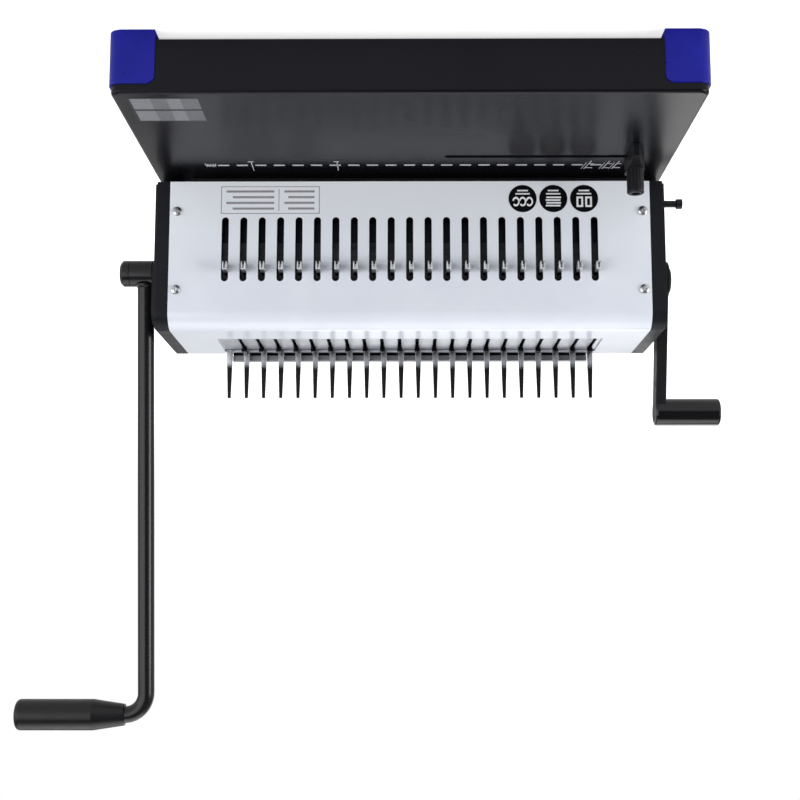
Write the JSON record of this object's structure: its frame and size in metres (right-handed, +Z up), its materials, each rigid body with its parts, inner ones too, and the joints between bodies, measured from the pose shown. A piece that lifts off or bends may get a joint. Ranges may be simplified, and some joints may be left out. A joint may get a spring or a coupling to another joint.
{
  "type": "punch and comb binding machine",
  "caption": "Desk machine that punches slots in loose sheets with a tall hand lever and opens a plastic comb on a row of fingers with a short side lever.",
  "frame": {"origin": "on the table, under the middle of the base tray", "axes": "+X to the user's right along the row of punches, +Y away from the user, +Z up"},
  "size_m": [0.5694, 0.2918, 0.4764],
  "materials": {
    "base_black": "satin black paint on sheet steel",
    "foot_blue": "moulded dark blue plastic",
    "cover_white": "smooth white powder coat on sheet steel",
    "end_black": "fine-grained moulded black plastic",
    "handle_black": "satin black paint on steel",
    "grip_black": "moulded black rubber",
    "knob_black": "moulded black plastic",
    "screw_steel": "bright plated steel",
    "screw_black": "blackened steel",
    "frame_steel": "zinc-plated sheet steel",
    "tool_steel": "ground tool steel",
    "punch_steel": "ground and polished steel",
    "spring_steel": "spring wire",
    "gear_steel": "cut steel, oiled",
    "bush_bronze": "sintered bronze",
    "deck_steel": "polished sheet steel",
    "finger_steel": "pressed steel",
    "strip_steel": "grey steel",
    "hook_black": "blackened steel",
    "tray_black": "moulded black plastic"
  },
  "bodies": {
    "machine": {"base_shell": "base_black", "foot_front_left": "foot_blue", "foot_front_right": "foot_blue", "foot_rear_left": "foot_blue", "foot_rear_right": "foot_blue", "front_cover": "cover_white", "rear_cover": "cover_white", "left_end_cover": "end_black", "right_end_cover": "end_black", "cover_screws": "screw_steel", "rear_cover_screws": "screw_steel", "foot_screws": "screw_steel", "frame_screws": "screw_steel", "end_cover_screws": "screw_black", "left_frame": "frame_steel", "right_frame": "frame_steel", "tie_bar": "frame_steel", "carriage_rails": "frame_steel", "tray_runners": "frame_steel", "die_plate": "tool_steel", "punch_guide": "tool_steel", "guide_rods": "punch_steel", "return_springs": "spring_steel", "drive_bushes": "bush_bronze", "lever_bushes": "bush_bronze", "comb_deck": "deck_steel", "comb_fingers": "finger_steel", "comb_strip": "strip_steel", "comb_back_rail": "strip_steel"},
    "hand_lever": {"drive_shaft": "punch_steel", "drive_pinions": "gear_steel", "handle_hub": "handle_black", "hub_cap": "handle_black", "handle_tube": "handle_black", "handle_grip": "grip_black"},
    "punch": {"punch_bar": "tool_steel", "punch_pins": "punch_steel", "pin_retainer": "frame_steel", "punch_racks": "gear_steel"},
    "comb_lever": {"lever_shaft": "punch_steel", "sector_gears": "gear_steel", "lever_arm": "handle_black", "lever_grip": "grip_black", "lever_cap": "handle_black"},
    "comb_carriage": {"hook_bar": "frame_steel", "comb_hooks": "hook_black", "carriage_racks": "gear_steel"},
    "edge_stop": {"edge_guide": "knob_black", "guide_stud": "punch_steel", "guide_clamp": "frame_steel"},
    "edge_knob": {"guide_knob": "knob_black"},
    "depth_stop": {"depth_stop_bar": "frame_steel", "depth_pin": "knob_black"},
    "waste_tray": {"chip_tray": "tray_black"}
  },
  "joints": [
    {"name": "hand_lever_swing", "type": "hinge", "parent": "machine", "child": "hand_lever", "pos_m": [0, 0.06106, 0.117], "axis": [1, 0, 0], "range_deg": [0, 90]},
    {"name": "punch_slide", "type": "slide", "parent": "machine", "child": "punch", "axis": [0, 0, -1], "range_m": [0, 0.01571], "stiffness_N_per_m": 1500, "springref_m": -0.02, "deforming": ["return_springs"]},
    {"name": "comb_lever_swing", "type": "hinge", "parent": "machine", "child": "comb_lever", "pos_m": [0, 0.096, 0.115], "axis": [1, 0, 0], "range_deg": [0, 72]},
    {"name": "comb_slide", "type": "slide", "parent": "machine", "child": "comb_carriage", "axis": [0, -1, 0], "range_m": [0, 0.03017]},
    {"name": "edge_stop_slide", "type": "slide", "parent": "machine", "child": "edge_stop", "axis": [1, 0, 0], "range_m": [0, 0.14]},
    {"name": "edge_knob_turn", "type": "hinge", "parent": "edge_stop", "child": "edge_knob", "pos_m": [-0.1695, -0.01, 0.06], "axis": [0, 0, 1], "continuous": true},
    {"name": "depth_stop_slide", "type": "slide", "parent": "machine", "child": "depth_stop", "axis": [0, 1, 0], "range_m": [0, 0.0035]},
    {"name": "waste_tray_slide", "type": "slide", "parent": "machine", "child": "waste_tray", "axis": [0, 1, 0], "range_m": [0, 0.11]}
  ],
  "couplings": [
    {"joint": "punch_slide", "follows": "hand_lever_swing", "m_per_rad": 0.01},
    {"joint": "comb_slide", "follows": "comb_lever_swing", "m_per_rad": 0.024}
  ]
}
